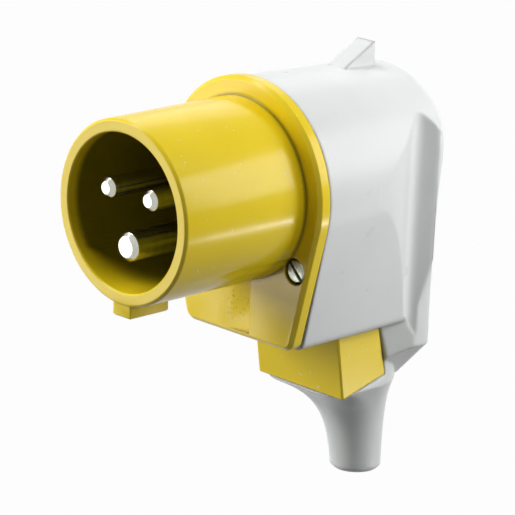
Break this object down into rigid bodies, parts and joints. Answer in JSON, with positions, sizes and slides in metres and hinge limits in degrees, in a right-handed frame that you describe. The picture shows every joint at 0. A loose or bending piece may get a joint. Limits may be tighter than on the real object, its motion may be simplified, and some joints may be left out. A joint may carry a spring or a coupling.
{
  "type": "right-angle industrial plug",
  "caption": "Right-angle industrial pin-and-sleeve plug with a round keyed shroud, flange, tapered grip housing with finger scoops and a flared cable sleeve.",
  "frame": {"origin": "on the shroud's axis, at the front face of the flange", "axes": "-Y out of the shroud towards the socket, -Z along the cable as it leaves, +X to the right as seen from the front"},
  "size_m": [0.0532, 0.0859, 0.1092],
  "materials": {
    "yellow_plastic": "moulded, semi-gloss",
    "grey_plastic": "moulded, semi-gloss",
    "carrier_plastic": "moulded, matt",
    "plated_contact": "nickel plated",
    "screw_steel": "zinc plated",
    "insert_brass": "turned",
    "seal_rubber": "matt"
  },
  "bodies": {
    "root": {"front_shroud": "yellow_plastic", "cable_clamp": "yellow_plastic", "rear_housing": "grey_plastic", "contact_carrier": "carrier_plastic", "pin_retainer": "carrier_plastic", "line_pin": "plated_contact", "neutral_pin": "plated_contact", "earth_pin": "plated_contact", "left_flange_screw": "screw_steel", "right_flange_screw": "screw_steel", "left_clamp_screw": "screw_steel", "right_clamp_screw": "screw_steel", "retainer_screw": "screw_steel", "line_terminal_screw": "screw_steel", "neutral_terminal_screw": "screw_steel", "earth_terminal_screw": "screw_steel", "left_flange_insert": "insert_brass", "right_flange_insert": "insert_brass", "left_clamp_insert": "insert_brass", "right_clamp_insert": "insert_brass", "flange_gasket": "seal_rubber", "cable_seal": "seal_rubber"}
  },
  "joints": []
}
